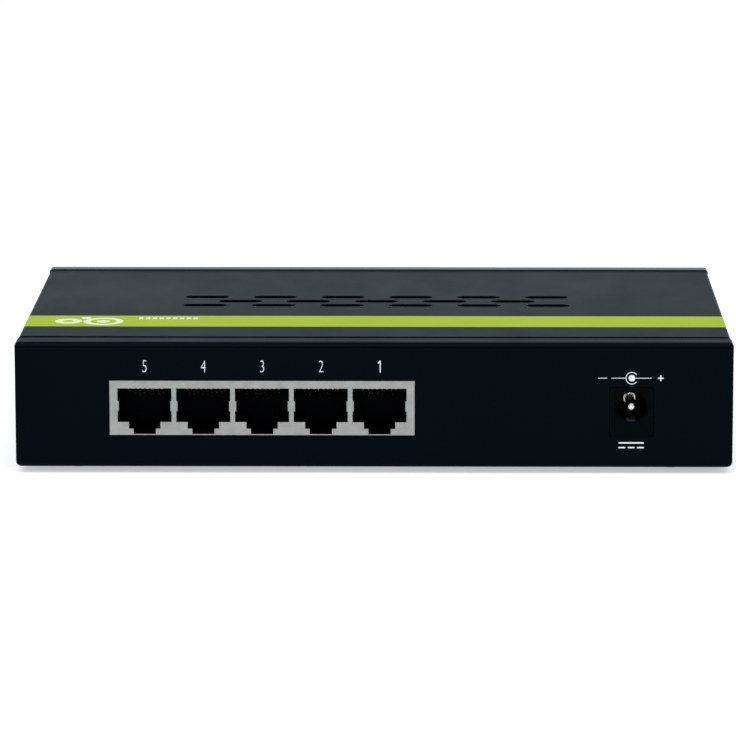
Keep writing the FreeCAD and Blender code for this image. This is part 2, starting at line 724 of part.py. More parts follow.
def power_jack_spring():
    """Sprung leaf that presses on the plug's sleeve."""
    strip = profile_yz(ribbon(leaf_path(), 0.3), JACK_X - LEAF_W / 2, JACK_X + LEAF_W / 2)
    eye = rod(JACK_X - LEAF_W / 2, LEAF_PIVOT_Y, LEAF_PIVOT_Z, 0.25, LEAF_W, "X")
    return fused([strip, eye])


def power_jack_terminals():
    """Two soldered tabs: behind the pin, and under the sleeve spring's root."""
    half = 0.9
    tabs = [block(JACK_X - half, JACK_X + half, JACK_BACK, JACK_BACK + 0.4,
                  PIN_TAIL_Z, JACK_Z + 1.2)]
    y = jack_legs()[1][1]
    tabs.append(block(JACK_X - half, JACK_X + half, y - 0.2, y + 0.2, PIN_TAIL_Z, 9.8))
    return tabs


# ---- electronics --------------------------------------------------------------------------

def gull_lead(x, y, way_x, way_y, width, reach, height):
    """One bent lead of a chip package: out of its side, down and flat on the board."""
    t = 0.2
    z = BOARD_TOP
    shoulder = reach * 0.45

    def slab(near, far, z0, z1):
        ends = sorted((near, far))
        if way_x:
            return block(x + ends[0], x + ends[1], y - width / 2, y + width / 2, z0, z1)
        return block(x - width / 2, x + width / 2, y + ends[0], y + ends[1], z0, z1)

    way = way_x or way_y
    top = slab(0, way * shoulder, z + height - t, z + height)
    down = slab(way * (shoulder - t), way * shoulder, z, z + height)
    toe = slab(way * (shoulder - t), way * reach, z, z + t)
    return fused([top, down, toe])


def package(x, y, width, depth, height, lift=0.1):
    """Moulded body of a chip, with bevelled upper edges."""
    body = centred(x, y, BOARD_TOP + lift, width, depth, height)
    high = [edge for edge in body.Edges if edge.CenterOfMass.z > BOARD_TOP + lift + height - 0.01]
    return body.makeChamfer(min(0.25, height / 4), high)


def flat_package(x, y, size, count, pitch, height):
    """Square chip with leads on all four sides."""
    solids = [package(x, y, size, size, height)]
    first = -pitch * (count - 1) / 2
    for i in range(count):
        along = first + i * pitch
        for way in (-1, 1):
            side = way * size / 2
            solids.append(gull_lead(x + side, y + along, way, 0, pitch * 0.5, 1.0, height * 0.5))
            solids.append(gull_lead(x + along, y + side, 0, way, pitch * 0.5, 1.0, height * 0.5))
    return solids


def two_row_package(x, y, width, depth, height, count, pitch):
    """Chip or module with leads along its two long sides, which run along Y."""
    solids = [package(x, y, width, depth, height, 0.15)]
    first = -pitch * (count - 1) / 2
    for i in range(count):
        for way in (-1, 1):
            solids.append(gull_lead(x + way * width / 2, y + first + i * pitch, way, 0,
                                    pitch * 0.4, 0.55, min(height * 0.5, 1.4)))
    return solids


def heatsink():
    """Extruded aluminium sink with upright fins."""
    z0 = BOARD_TOP + 0.1 + CHIP_H + PAD_T
    base = centred(CHIP_X, CHIP_Y, z0, SINK_SIZE, SINK_SIZE, 2.0)
    fins = []
    count = 8
    for i in range(count):
        x = CHIP_X - SINK_SIZE / 2 + 0.6 + i * (SINK_SIZE - 1.2) / (count - 1)
        fins.append(centred(x, CHIP_Y, z0 + 1.9, 1.2, SINK_SIZE, 8.1))
    return fused([base] + fins)


def thermal_pad():
    """Soft pad between chip and sink."""
    return centred(CHIP_X, CHIP_Y, BOARD_TOP + 0.1 + CHIP_H, 18.0, 18.0, PAD_T)


def crystal():
    """Low metal can on its plastic base."""
    can = centred(-8.0, 12.0, BOARD_TOP + 0.4, 10.8, 4.4, 3.1)
    can = rounded(can, 2.1, "Z")
    flange = rounded(centred(-8.0, 12.0, BOARD_TOP, 11.5, 4.9, 0.4), 2.3, "Z")
    return fused([can, flange])


def electrolytic_capacitor(x, y, diameter, height):
    """Upright can with a crimped waist, on a square base."""
    base = rounded(centred(x, y, BOARD_TOP, diameter + 0.4, diameter + 0.4, 0.9), 0.8, "Z")
    radius = diameter / 2
    can = rod(x, y, BOARD_TOP + 0.9, radius, height - 0.9)
    groove = rod(x, y, BOARD_TOP + 1.7, radius + 1, 0.5)
    groove = groove.cut(rod(x, y, BOARD_TOP + 1.7, radius - 0.25, 0.5))
    score = centred(x, y, BOARD_TOP + height - 0.15, diameter, 0.3, 1.0)
    return fused([base, can]).cut([groove, score])


def electrolytic_capacitors():
    """Three smoothing capacitors near the inlet and the regulator."""
    places = ((44.0, -24.0, 8.0, 10.2), (54.5, -24.0, 6.3, 7.7), (-52.0, 10.0, 6.3, 7.7))
    return [electrolytic_capacitor(*place) for place in places]


def power_inductor():
    """Shielded coil: square ferrite with a round drum in it."""
    x = 58.0
    y = -10.0
    shell = rounded(centred(x, y, BOARD_TOP, 8.0, 8.0, 4.2), 1.6, "Z")
    ring = rod(x, y, BOARD_TOP + 3.4, 3.3, 2).cut(rod(x, y, BOARD_TOP + 3.4, 2.7, 2))
    return shell.cut(ring)


def voltage_regulators():
    """Two small regulator chips."""
    places = ((46.0, -10.0), (46.0, 4.0))
    solids = []
    for x, y in places:
        solids += two_row_package(x, y, 3.9, 5.0, 1.5, 4, 1.27)
    return solids


def chip_components():
    """Small chip resistors and capacitors."""
    solids = []
    rows = ((-58.0, -6.0, 8, 14.0), (-50.0, -1.0, 7, 14.0), (-30.0, 22.0, 6, 9.0), (20.0, 26.0, 6, 5.0))
    for x0, y, count, step in rows:
        for i in range(count):
            solids.append(centred(x0 + i * step * 0.5, y, BOARD_TOP, 1.6, 0.8, 0.55))
    return solids


def status_lamps():
    """One chip lamp under each light guide."""
    solids = [centred(LAMP_POWER_X, LAMP_LOW_LEG_Y, BOARD_TOP, 1.6, 1.0, 0.7)]
    for x in LAMP_PORT_X:
        solids.append(centred(x, LAMP_LOW_LEG_Y, BOARD_TOP, 1.6, 1.0, 0.7))
        solids.append(centred(x, LAMP_HIGH_LEG_Y, BOARD_TOP, 1.6, 1.0, 0.7))
    return solids


def light_guide(x, z, leg_y):
    """Clear bar from above a lamp, up, and forward through the panel."""
    gap = 0.12
    half_w = LAMP_W / 2 - gap
    half_h = LAMP_H / 2 - gap
    bar = block(x - half_w, x + half_w, leg_y - half_h, LAMP_FACE_Y, z - half_h, z + half_h)
    bar = rounded(bar, 0.25, "Y")
    leg = block(x - half_w, x + half_w, leg_y - half_h, leg_y + half_h,
                BOARD_TOP + 0.9, z + half_h)
    return fused([bar, leg])


def light_pipe_peg(x):
    """Peg that seats a light pipe in the board."""
    post = rod(x, LAMP_PEG_Y, BOARD_BOTTOM - 0.3, 0.8, LAMP_LOW_Z - BOARD_BOTTOM + 0.3)
    shoulder = rod(x, LAMP_PEG_Y, BOARD_TOP, 1.3, LAMP_LOW_Z - BOARD_TOP)
    return [post, shoulder]


def power_light_pipe():
    """Light pipe of the power lamp."""
    guide = light_guide(LAMP_POWER_X, LAMP_LOW_Z, LAMP_LOW_LEG_Y)
    return fused([guide] + light_pipe_peg(LAMP_POWER_X))


def port_light_pipe(x):
    """Light pipe of one port: two guides and the web that joins them."""
    web = block(x - 0.5, x + 0.5, LAMP_HIGH_LEG_Y, LAMP_PEG_Y + 1.0, LAMP_LOW_Z, LAMP_HIGH_Z)
    low = light_guide(x, LAMP_LOW_Z, LAMP_LOW_LEG_Y)
    high = light_guide(x, LAMP_HIGH_Z, LAMP_HIGH_LEG_Y)
    return fused([low, high, web] + light_pipe_peg(x))


# ---- all nodes ----------------------------------------------------------------------------

def build():
    os.makedirs("parts", exist_ok=True)
    save("base_tray", [base_tray()])
    save("top_cover", [top_cover()])
    save("front_bezel", [front_bezel()])
    save("cover_screws", cover_screws())
    for depth_name, y in (("rear", -36.0), ("front", 36.0)):
        for side_name, x in (("left", -64.0), ("right", 64.0)):
            save("foot_" + depth_name + "_" + side_name, [foot(x, y)])
    save("underside_label", [underside_label()])
    save("circuit_board", [circuit_board()])
    save("board_standoffs", board_standoffs())
    save("board_screws", board_screws())
    save("port_housing", [port_housing()])
    save("port_shield", [port_shield()])
    for number in range(1, PORT_COUNT + 1):
        name = "port_" + str(number)
        save(name + "_contacts", port_contacts(number))
        save(name + "_leads", port_leads(number))
        save(name + "_contact_carrier", [contact_carrier(number)])
        save(name + "_magnetics", two_row_package(port_x(number), -19.0, 10.2, 14.0, 5.6, 12, 1.1))
        save(name + "_light_pipe", [port_light_pipe(LAMP_PORT_X[number - 1])])
    save("power_light_pipe", [power_light_pipe()])
    save("status_lamps", status_lamps())
    save("power_jack_housing", [power_jack_housing()])
    save("power_jack_pin", [power_jack_pin()])
    save("power_jack_spring", [power_jack_spring()])
    save("power_jack_terminals", power_jack_terminals())
    save("switch_chip", flat_package(CHIP_X, CHIP_Y, CHIP_SIZE, 24, 0.8, CHIP_H))
    save("thermal_pad", [thermal_pad()])
    save("heatsink", [heatsink()])
    save("memory_chip", two_row_package(-24.0, 8.0, 3.9, 5.0, 1.5, 4, 1.27))
    save("crystal", [crystal()])
    save("electrolytic_capacitors", electrolytic_capacitors())
    save("power_inductor", [power_inductor()])
    save("voltage_regulators", voltage_regulators())
    save("chip_components", chip_components())


build()
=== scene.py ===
import json
import math

import bmesh
import bpy
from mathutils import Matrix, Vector


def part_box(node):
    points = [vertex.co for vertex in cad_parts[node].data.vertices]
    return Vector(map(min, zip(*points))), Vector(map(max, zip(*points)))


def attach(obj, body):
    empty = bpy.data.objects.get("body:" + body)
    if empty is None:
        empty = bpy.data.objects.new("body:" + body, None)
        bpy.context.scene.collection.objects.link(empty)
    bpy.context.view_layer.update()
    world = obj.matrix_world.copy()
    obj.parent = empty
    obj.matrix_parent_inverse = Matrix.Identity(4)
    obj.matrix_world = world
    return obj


# Looks of a five-port desktop network switch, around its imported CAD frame. Metres, +Z up.
# The port panel faces -Y, the indicator panel faces +Y.

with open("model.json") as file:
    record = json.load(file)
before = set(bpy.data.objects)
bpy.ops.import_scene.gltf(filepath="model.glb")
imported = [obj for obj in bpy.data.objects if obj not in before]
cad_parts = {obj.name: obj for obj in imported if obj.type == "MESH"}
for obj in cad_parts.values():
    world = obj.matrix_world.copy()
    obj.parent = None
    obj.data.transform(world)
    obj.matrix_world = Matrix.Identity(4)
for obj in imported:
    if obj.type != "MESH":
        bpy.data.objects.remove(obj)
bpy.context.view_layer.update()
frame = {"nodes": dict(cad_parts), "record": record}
scene = bpy.context.scene


# ---- measures -----------------------------------------------------------------------------

def middle_x(node):
    """X of the middle of a node's box."""
    low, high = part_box(node)
    return (low.x + high.x) / 2


MM = 0.001
PORTS = range(1, 6)
HALF_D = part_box("front_bezel")[1].y      # the port panel's face is at -HALF_D
LID_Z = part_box("top_cover")[1].z
LID_HALF_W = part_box("top_cover")[1].x
LID_BEND = 0.0008                        # outside radius of the lid's side bends
TRAY_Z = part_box("base_tray")[0].z
JACK_X = middle_x("power_jack_housing")
PRINT_SINK = 0.00003                     # how deep a mark sits in the paint
PRINT_THICK = 0.00006
DASH_DEPTH = 0.6 * MM                    # from the lid down to the painted shade in its pressed dashes


# ---- materials ----------------------------------------------------------------------------

class Finish:
    """A Principled material whose textures read object coordinates in metres."""

    def __init__(self, name, color, roughness, metallic=0.0, specular=0.5):
        self.material = bpy.data.materials.new(name)
        self.material.use_nodes = True
        self.tree = self.material.node_tree
        self.bsdf = self.tree.nodes["Principled BSDF"]
        self.set("Base Color", (*color, 1.0))
        self.set("Roughness", roughness)
        self.set("Metallic", metallic)
        self.set("Specular IOR Level", specular)
        self.where = self.node("ShaderNodeTexCoord").outputs["Object"]

    def node(self, kind, **settings):
        """A new shader node with the given properties."""
        made = self.tree.nodes.new(kind)
        for key, value in settings.items():
            setattr(made, key, value)
        return made

    def link(self, source, target):
        self.tree.links.new(source, target)

    def set(self, socket, value):
        """A uniform value on the shader's own socket."""
        self.bsdf.inputs[socket].default_value = value

    def stretched(self, stretch):
        """Object coordinates scaled per axis."""
        mapping = self.node("ShaderNodeMapping")
        mapping.inputs["Scale"].default_value = stretch
        self.link(self.where, mapping.inputs["Vector"])
        return mapping.outputs["Vector"]

    def noise(self, scale, detail=3.0, roughness=0.5, stretch=(1.0, 1.0, 1.0)):
        """Noise from 0 to 1 with about scale features to the metre."""
        texture = self.node("ShaderNodeTexNoise")
        texture.inputs["Scale"].default_value = scale
        texture.inputs["Detail"].default_value = detail
        texture.inputs["Roughness"].default_value = roughness
        self.link(self.stretched(stretch), texture.inputs["Vector"])
        return texture.outputs["Fac"]

    def cell_edges(self, scale, stretch):
        """Distance to the nearest edge in a pattern of cells."""
        texture = self.node("ShaderNodeTexVoronoi", feature="DISTANCE_TO_EDGE")
        texture.inputs["Scale"].default_value = scale
        self.link(self.stretched(stretch), texture.inputs["Vector"])
        return texture.outputs["Distance"]

    def span(self, value, low, high, to_low=0.0, to_high=1.0):
        """The value, stretched from low..high to a new range and clamped."""
        remap = self.node("ShaderNodeMapRange")
        for socket, number in (("From Min", low), ("From Max", high),
                               ("To Min", to_low), ("To Max", to_high)):
            remap.inputs[socket].default_value = number
        self.link(value, remap.inputs["Value"])
        return remap.outputs["Result"]

    def mix(self, factor, first, second):
        """A colour between two colours or colour sockets."""
        blend = self.node("ShaderNodeMix", data_type="RGBA")
        color_a, color_b, color_result = blend.inputs[6], blend.inputs[7], blend.outputs[2]
        self.link(factor, blend.inputs["Factor"])
        for socket, color in ((color_a, first), (color_b, second)):
            if isinstance(color, tuple):
                socket.default_value = (*color, 1.0)
            else:
                self.link(color, socket)
        return color_result

    def color(self, socket):
        """Drive the base colour."""
        self.link(socket, self.bsdf.inputs["Base Color"])

    def rough(self, socket):
        """Drive the roughness."""
        self.link(socket, self.bsdf.inputs["Roughness"])

    def bump(self, *layers):
        """Stack bump layers, each (height socket, strength, depth in metres)."""
        normal = None
        for height, strength, depth in layers:
            bump = self.node("ShaderNodeBump")
            bump.inputs["Strength"].default_value = strength
            bump.inputs["Distance"].default_value = depth
            self.link(height, bump.inputs["Height"])
            if normal:
                self.link(normal, bump.inputs["Normal"])
            normal = bump.outputs["Normal"]
        self.link(normal, self.bsdf.inputs["Normal"])


def case_paint():
    """Fine satin powder coat, nearly black, with faint clouding and handling marks."""
    f = Finish("case_paint", (0.0002, 0.0018, 0.0028), 0.32, specular=0.022)
    cloud = f.noise(34.0, 4.0)
    f.color(f.mix(f.span(cloud, 0.3, 0.7), (0.0002, 0.0016, 0.0025), (0.0003, 0.0021, 0.0032)))
    smudge = f.noise(60.0, 5.0, 0.6, (1.0, 0.45, 1.0))
    f.rough(f.span(smudge, 0.3, 0.75, 0.28, 0.36))
    f.bump((f.noise(1500.0, 2.0), 0.25, 0.00003), (f.noise(5200.0, 2.0), 0.2, 0.000012))
    return f.material


def bezel_plastic():
    """Satin-gloss black moulding with a faint flow texture."""
    f = Finish("bezel_plastic", (0.004, 0.0055, 0.0065), 0.16, specular=0.5)
    flow = f.noise(45.0, 4.0, 0.55, (0.3, 1.0, 1.0))
    f.color(f.mix(f.span(flow, 0.3, 0.7), (0.0035, 0.005, 0.006), (0.005, 0.0065, 0.0075)))
    f.rough(f.span(flow, 0.3, 0.75, 0.13, 0.2))
    f.bump((f.noise(900.0, 2.0), 0.08, 0.00001))
    return f.material


def stripe_ink():
    """Screen-printed lime green."""
    f = Finish("stripe_ink", (0.39, 0.49, 0.026), 0.42, specular=0.022)
    cloud = f.noise(90.0, 4.0)
    f.color(f.mix(f.span(cloud, 0.3, 0.7), (0.38, 0.475, 0.024), (0.4, 0.505, 0.028)))
    f.rough(f.span(f.noise(70.0, 4.0), 0.3, 0.7, 0.38, 0.46))
    f.bump((f.noise(1500.0, 2.0), 0.2, 0.00003), (f.noise(6000.0, 1.0), 0.15, 0.00001))
    return f.material


def dark_ink():
    """Matte black: ink on the underside label, painted shade on the floor of the lid's pressed
    dashes.
    """
    f = Finish("dark_ink", (0.0006, 0.0008, 0.001), 0.9, specular=0.02)
    grain = f.noise(3000.0, 2.0)
    f.color(f.mix(f.span(grain, 0.3, 0.7), (0.0004, 0.0006, 0.0008), (0.0008, 0.001, 0.0012)))
    f.rough(f.span(grain, 0.3, 0.7, 0.85, 0.95))
    f.bump((grain, 0.2, 0.00001))
    return f.material


def pale_ink(name, color):
    """Screen-printed ink with a fine speckle."""
    f = Finish(name, color, 0.5, specular=0.2)
    grain = f.noise(4000.0, 2.0)
    f.color(f.mix(f.span(grain, 0.25, 0.6), tuple(c * 0.84 for c in color), color))
    f.rough(f.span(grain, 0.3, 0.7, 0.45, 0.6))
    f.bump((grain, 0.3, 0.00001))
    return f.material


def tinned_shield():
    """Tinned spring sheet with rolling streaks and small dull marks."""
    f = Finish("tinned_shield", (0.3, 0.3, 0.29), 0.36, metallic=1.0)
    streak = f.noise(300.0, 3.0, 0.6, (1.0, 1.0, 14.0))
    blotch = f.noise(420.0, 4.0)
    base = f.mix(f.span(blotch, 0.35, 0.7), (0.3, 0.3, 0.285), (0.26, 0.26, 0.25))
    f.color(f.mix(f.span(streak, 0.55, 0.8), base, (0.35, 0.35, 0.34)))
    f.rough(f.span(blotch, 0.3, 0.75, 0.34, 0.44))
    f.bump((streak, 0.2, 0.00001), (f.noise(2600.0, 2.0), 0.12, 0.00001))
    return f.material


def moulded(name, color, roughness=0.5, grain=3200.0, specular=0.4):
    """Moulded plastic or epoxy with a fine eroded texture and faint flow clouding."""
    f = Finish(name, color, roughness, specular=specular)
    cloud = f.noise(160.0, 3.0)
    darker = tuple(c * 0.8 for c in color)
    lighter = tuple(c * 1.2 for c in color)
    f.color(f.mix(f.span(cloud, 0.3, 0.7), darker, lighter))
    f.rough(f.span(f.noise(500.0, 3.0), 0.3, 0.7, roughness - 0.06, roughness + 0.08))
    f.bump((f.noise(grain, 2.0), 0.3, 0.00001))
    return f.material


def plated(name, color, roughness, streaks=(1.0, 1.0, 1.0), wear=0.85):
    """Plated or drawn metal with streaks and dull patches."""
    f = Finish(name, color, roughness, metallic=1.0)
    dull = f.noise(700.0, 4.0)
    f.color(f.mix(f.span(dull, 0.35, 0.75), color, tuple(c * wear for c in color)))
    f.rough(f.span(dull, 0.3, 0.75, roughness - 0.06, roughness + 0.12))
    f.bump((f.noise(1800.0, 3.0, 0.5, streaks), 0.2, 0.000008))
    return f.material


def board_laminate():
    """Green solder mask over copper tracks, with a woven glass texture under it."""
    f = Finish("board_laminate", (0.015, 0.10, 0.04), 0.32, specular=0.5)
    edge = f.span(f.cell_edges(520.0, (1.0, 2.4, 1.0)), 0.02, 0.06)
    f.color(f.mix(edge, (0.03, 0.17, 0.065), (0.012, 0.085, 0.034)))
    f.rough(f.span(f.noise(200.0, 3.0), 0.3, 0.7, 0.25, 0.4))
    f.bump((edge, 0.4, 0.00003), (f.noise(1400.0, 2.0, 0.5, (1.0, 6.0, 1.0)), 0.15, 0.00001))
    return f.material


def foot_rubber():
    """Matte black rubber with a dusty bloom."""
    f = Finish("foot_rubber", (0.02, 0.02, 0.021), 0.78, specular=0.3)
    dust = f.noise(900.0, 5.0, 0.65)
    f.color(f.mix(f.span(dust, 0.45, 0.8), (0.016, 0.016, 0.017), (0.06, 0.06, 0.058)))
    f.rough(f.span(dust, 0.3, 0.8, 0.7, 0.92))
    f.bump((f.noise(2600.0, 3.0), 0.5, 0.00003))
    return f.material


def clear_guide():
    """Clear moulded light pipe, faintly frosted."""
    f = Finish("clear_guide", (0.82, 0.86, 0.85), 0.22, specular=0.5)
    f.set("Transmission Weight", 0.75)
    f.set("IOR", 1.58)
    f.rough(f.span(f.noise(900.0, 3.0), 0.3, 0.7, 0.18, 0.34))
    f.bump((f.noise(1500.0, 2.0), 0.15, 0.00002))
    return f.material


def label_film():
    """Plain pale film with a fine satin grain."""
    f = Finish("label_film", (0.70, 0.71, 0.71), 0.45, specular=0.4)
    grain = f.noise(1300.0, 3.0, 0.6, (1.0, 9.0, 1.0))
    f.color(f.mix(f.span(grain, 0.3, 0.7), (0.66, 0.67, 0.675), (0.74, 0.745, 0.745)))
    f.rough(f.span(grain, 0.3, 0.7, 0.38, 0.52))
    f.bump((grain, 0.15, 0.00001))
    return f.material


def slot_materials():
    """One material for each of the record's slots."""
    return {
        "case_paint": case_paint(),
        "bezel_plastic": bezel_plastic(),
        "black_screw": plated("black_screw", (0.03, 0.03, 0.033), 0.42),
        "label_film": label_film(),
        "board_laminate": board_laminate(),
        "plated_steel": plated("plated_steel", (0.62, 0.61, 0.58), 0.34),
        "jack_plastic": moulded("jack_plastic", (0.0005, 0.0017, 0.0025), 0.5, specular=0.018),
        "tinned_shield": tinned_shield(),
        "clear_guide": clear_guide(),
        "lamp_chip": moulded("lamp_chip", (0.75, 0.68, 0.35), 0.3),
        "pin_nickel": plated("pin_nickel", (0.72, 0.70, 0.66), 0.2, (1.0, 0.1, 1.0)),
        # The spring's nickel is far darker than the pin's: painted shade for the dim inside of
        # the inlet's bore.
        "spring_nickel": plated("spring_nickel", (0.13, 0.127, 0.12), 0.32, (1.0, 0.1, 1.0)),
        "chip_epoxy": moulded("chip_epoxy", (0.02, 0.02, 0.022), 0.48),
        "module_epoxy": moulded("module_epoxy", (0.024, 0.024, 0.026), 0.55),
        "pad_silicone": moulded("pad_silicone", (0.28, 0.33, 0.38), 0.7, 1500.0),
        "sink_aluminium": plated("sink_aluminium", (0.56, 0.57, 0.58), 0.4, (8.0, 0.3, 8.0)),
        "can_steel": plated("can_steel", (0.64, 0.64, 0.63), 0.25),
        "can_aluminium": plated("can_aluminium", (0.66, 0.67, 0.69), 0.3, (0.4, 0.4, 6.0)),
        "ferrite": moulded("ferrite", (0.045, 0.045, 0.048), 0.6, 2200.0),
        "component_ceramic": moulded("component_ceramic", (0.32, 0.22, 0.13), 0.4),
        "carrier_plastic": moulded("carrier_plastic", (0.009, 0.009, 0.01), 0.5, specular=0.25),
        "contact_gold": plated("contact_gold", (0.80, 0.56, 0.22), 0.22, (1.0, 0.1, 0.1), 0.9),
        "foot_rubber": foot_rubber(),
    }


def dress_nodes(materials):
    """Give every CAD node the material of its slot."""
    for part in frame["record"]["subparts"]:
        slots = frame["nodes"][part["node"]].data.materials
        slots.clear()
        slots.append(materials[part["material_slot"]])


# ---- mesh helpers -------------------------------------------------------------------------

def finish_mesh(name, bm, material, body):
    """Turn a bmesh into a piece that rides on a body."""
    bmesh.ops.remove_doubles(bm, verts=bm.verts, dist=1e-7)
    bmesh.ops.recalc_face_normals(bm, faces=bm.faces)
    mesh = bpy.data.meshes.new(name)
    bm.to_mesh(mesh)
    bm.free()
    mesh.materials.append(material)
    piece = bpy.data.objects.new(name, mesh)
    scene.collection.objects.link(piece)
    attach(piece, body)
    return piece


def thicken(bm, faces, place):
    """Close flat faces at the top of a print down to its base."""
    made = bmesh.ops.extrude_face_region(bm, geom=faces)
    down = Vector(place(0, 0, 0)) - Vector(place(0, 0, PRINT_THICK))
    moved = [g for g in made["geom"] if isinstance(g, bmesh.types.BMVert)]
    bmesh.ops.translate(bm, verts=moved, vec=down)


def add_plate(bm, outline, holes, place):
    """A thin closed plate out of an outline and holes, lists of (u, v).

    place maps (u, v, w) to space, with w outwards.
    """
    edges = []
    for loop in [outline] + list(holes):
        verts = [bm.verts.new(place(u, v, PRINT_THICK)) for u, v in loop]
        edges += [bm.edges.new(pair) for pair in zip(verts, verts[1:] + verts[:1])]
    filled = bmesh.ops.triangle_fill(bm, use_beauty=True, use_dissolve=False, edges=edges)
    thicken(bm, [g for g in filled["geom"] if isinstance(g, bmesh.types.BMFace)], place)


def disc(u, v, radius, count=28):
    """Outline of a disc."""
    return [(u + radius * math.cos(2 * math.pi * i / count),
             v + radius * math.sin(2 * math.pi * i / count)) for i in range(count)]


def bar(u0, u1, v0, v1):
    """Outline of a rectangle."""
    return [(u0, v0), (u1, v0), (u1, v1), (u0, v1)]


def on_port_panel(u, v, w):
    """Printing plane of the port panel: u to the right, v up, w outwards."""
    return (u, -HALF_D + PRINT_SINK - w, v)


def on_lamp_panel(u, v, w):
    """Printing plane of the indicator panel, seen from +Y: u to the right, v up."""
    return (-u, HALF_D - PRINT_SINK + w, v)


def on_stripe(u, v, w):
    """Printing plane of the lid's stripe: u along +X, v along +Y."""
    return (u, v, LID_Z - PRINT_SINK + (w + PRINT_SINK))


def on_dash_floor(u, v, w):
    """Floor of the lid's pressed dashes: u along +X, v along +Y."""
    return (u, v, LID_Z - PRINT_SINK + (w - DASH_DEPTH))


def printed(name, material, place, shapes):
    """One printed mark out of (outline, holes) plates."""
    bm = bmesh.new()
    for outline, holes in shapes:
        add_plate(bm, outline, holes, place)
    return finish_mesh(name, bm, material, "case")


def text_mark(name, words, material, place, u, v, height, stretch):
    """Generic characters in Blender's built-in face, centred on (u, v), as thin closed plates."""
    curve = bpy.data.curves.new(name, "FONT")
    curve.body = words
    curve.align_x = "CENTER"
    curve.align_y = "CENTER"
    curve.size = 1.0
    curve.resolution_u = 3
    curve.offset = -0.018                # thins the strokes
    temp = bpy.data.objects.new(name + "_text", curve)
    scene.collection.objects.link(temp)
    bpy.context.view_layer.update()
    flat = bpy.data.meshes.new_from_object(temp)
    bpy.data.objects.remove(temp)
    tops = [vert.co.y for vert in flat.vertices]
    sides = [vert.co.x for vert in flat.vertices]
    scale = height / (max(tops) - min(tops))
    mid_y = (max(tops) + min(tops)) / 2
    mid_x = (max(sides) + min(sides)) / 2
    bm = bmesh.new()
    bm.from_mesh(flat)
    bpy.data.meshes.remove(flat)
    bmesh.ops.remove_doubles(bm, verts=bm.verts, dist=1e-5)
    for vert in bm.verts:
        x = u + (vert.co.x - mid_x) * scale * stretch
        y = v + (vert.co.y - mid_y) * scale
        vert.co = place(x, y, PRINT_THICK)
    thicken(bm, bm.faces[:], place)
    return finish_mesh(name, bm, material, "case")


# ---- printed marks ------------------------------------------------------------------------

def lid_stripe(material):
    """The printed band across the lid and over its side bends."""
    near = -HALF_D + 18.8 * MM
    far = -HALF_D + 31.9 * MM
    steps = 10
    centre_z = LID_Z - LID_BEND
    profile = []                         # (x of the bend's centre, outward x, outward z)
    for side in (-1, 1):
        arc = []
        for i in range(steps + 1):
            angle = math.pi / 2 * i / steps
            arc.append((side * (LID_HALF_W - LID_BEND), side * math.cos(angle), math.sin(angle)))
        profile += arc if side < 0 else arc[::-1]
    bm = bmesh.new()
    rings = []
    for y in (near, far):
        outer = []
        inner = []
        for centre_x, out_x, out_z in profile:
            for radius, row in ((LID_BEND + PRINT_SINK, outer), (LID_BEND - PRINT_SINK, inner)):
                spot = (centre_x + out_x * radius, y, centre_z + out_z * radius)
                row.append(bm.verts.new(spot))
        rings.append(outer + inner[::-1])
    count = len(rings[0])
    for i in range(count):
        j = (i + 1) % count
        bm.faces.new((rings[0][i], rings[0][j], rings[1][j], rings[1][i]))
    for ring in rings:
        for i in range(count // 2 - 1):
            bm.faces.new((ring[i], ring[i + 1], ring[count - 2 - i], ring[count - 1 - i]))
    return finish_mesh("lid_stripe", bm, material, "case")


def lid_mark(material):
    """Plain rings and dots on the stripe, with a row of short dashes behind them."""
    y = -HALF_D + 25.0 * MM
    rings = ((-59.6, -0.2, 4.4, 2.9), (-67.3, 0.0, 3.0, 1.2))      # x, y, radii, in mm
    dots = ((-63.6, 3.9, 1.1), (-59.6, -0.2, 1.5))                 # x, y, radius, in mm
    dash_count = 9
    dash_pitch = 1.5
    dash_length = 0.95 * MM
    shapes = []
    for x, dy, outer, inner in rings:
        centre = (x * MM, y + dy * MM)
        shapes.append((disc(*centre, outer * MM, 48), [disc(*centre, inner * MM, 40)]))
    for x, dy, radius in dots:
        shapes.append((disc(x * MM, y + dy * MM, radius * MM), []))
    for i in range(dash_count):
        x = (-52.0 + i * dash_pitch) * MM
        shapes.append((bar(x, x + dash_length, y + 2.6 * MM, y + 4.8 * MM), []))
    printed("lid_marks", material, on_stripe, shapes)


def dash_ink(material):
    """Painted shade: dark plates on the floor of each pressed dash of the lid, standing in for
    the shade there.
    """
    first_row, row_pitch, pitch = 45.5, 5.3, 15.3
    shapes = []
    for row, count in enumerate((6, 5, 6)):
        y = -HALF_D + (first_row + row * row_pitch) * MM
        for i in range(count):
            x = ((i - (count - 1) / 2) * pitch) * MM
            shapes.append((capsule(x, y, 9.5 * MM, 3.0 * MM), []))
    printed("dash_ink", material, on_dash_floor, shapes)


def capsule(u, v, length, width, steps=8):
    """Outline of a bar with round ends along u, centred on (u, v)."""
    radius = width / 2
    reach = length / 2 - radius
    points = []
    for side, start in ((1, -math.pi / 2), (-1, math.pi / 2)):
        for i in range(steps + 1):
            angle = start + math.pi * i / steps
            points.append((u + side * reach + radius * math.cos(angle),
                           v + radius * math.sin(angle)))
    return points


def port_numbers(material):
    """Numbers over the ports; the 1 is drawn with a small flag."""
    height = 2.6 * MM
    z = TRAY_Z + 22.2 * MM
    top = z + height / 2
    stem = middle_x("port_1_contacts") + 0.15 * MM
    half = 0.1 * MM
    flag = 0.5 * MM
    outline = [(stem - half, z - height / 2), (stem + half, z - height / 2), (stem + half, top),
               (stem - 0.08 * MM, top), (stem - flag, top - flag), (stem - flag, top - 0.7 * MM),
               (stem - half, top - flag)]
    printed("port_number_1", material, on_port_panel, [(outline, [])])
    for number in PORTS[1:]:
        x = middle_x("port_%d_contacts" % number) + 0.08 * MM
        text_mark("port_number_%d" % number, str(number), material, on_port_panel, x, z,
                  height, 0.62)


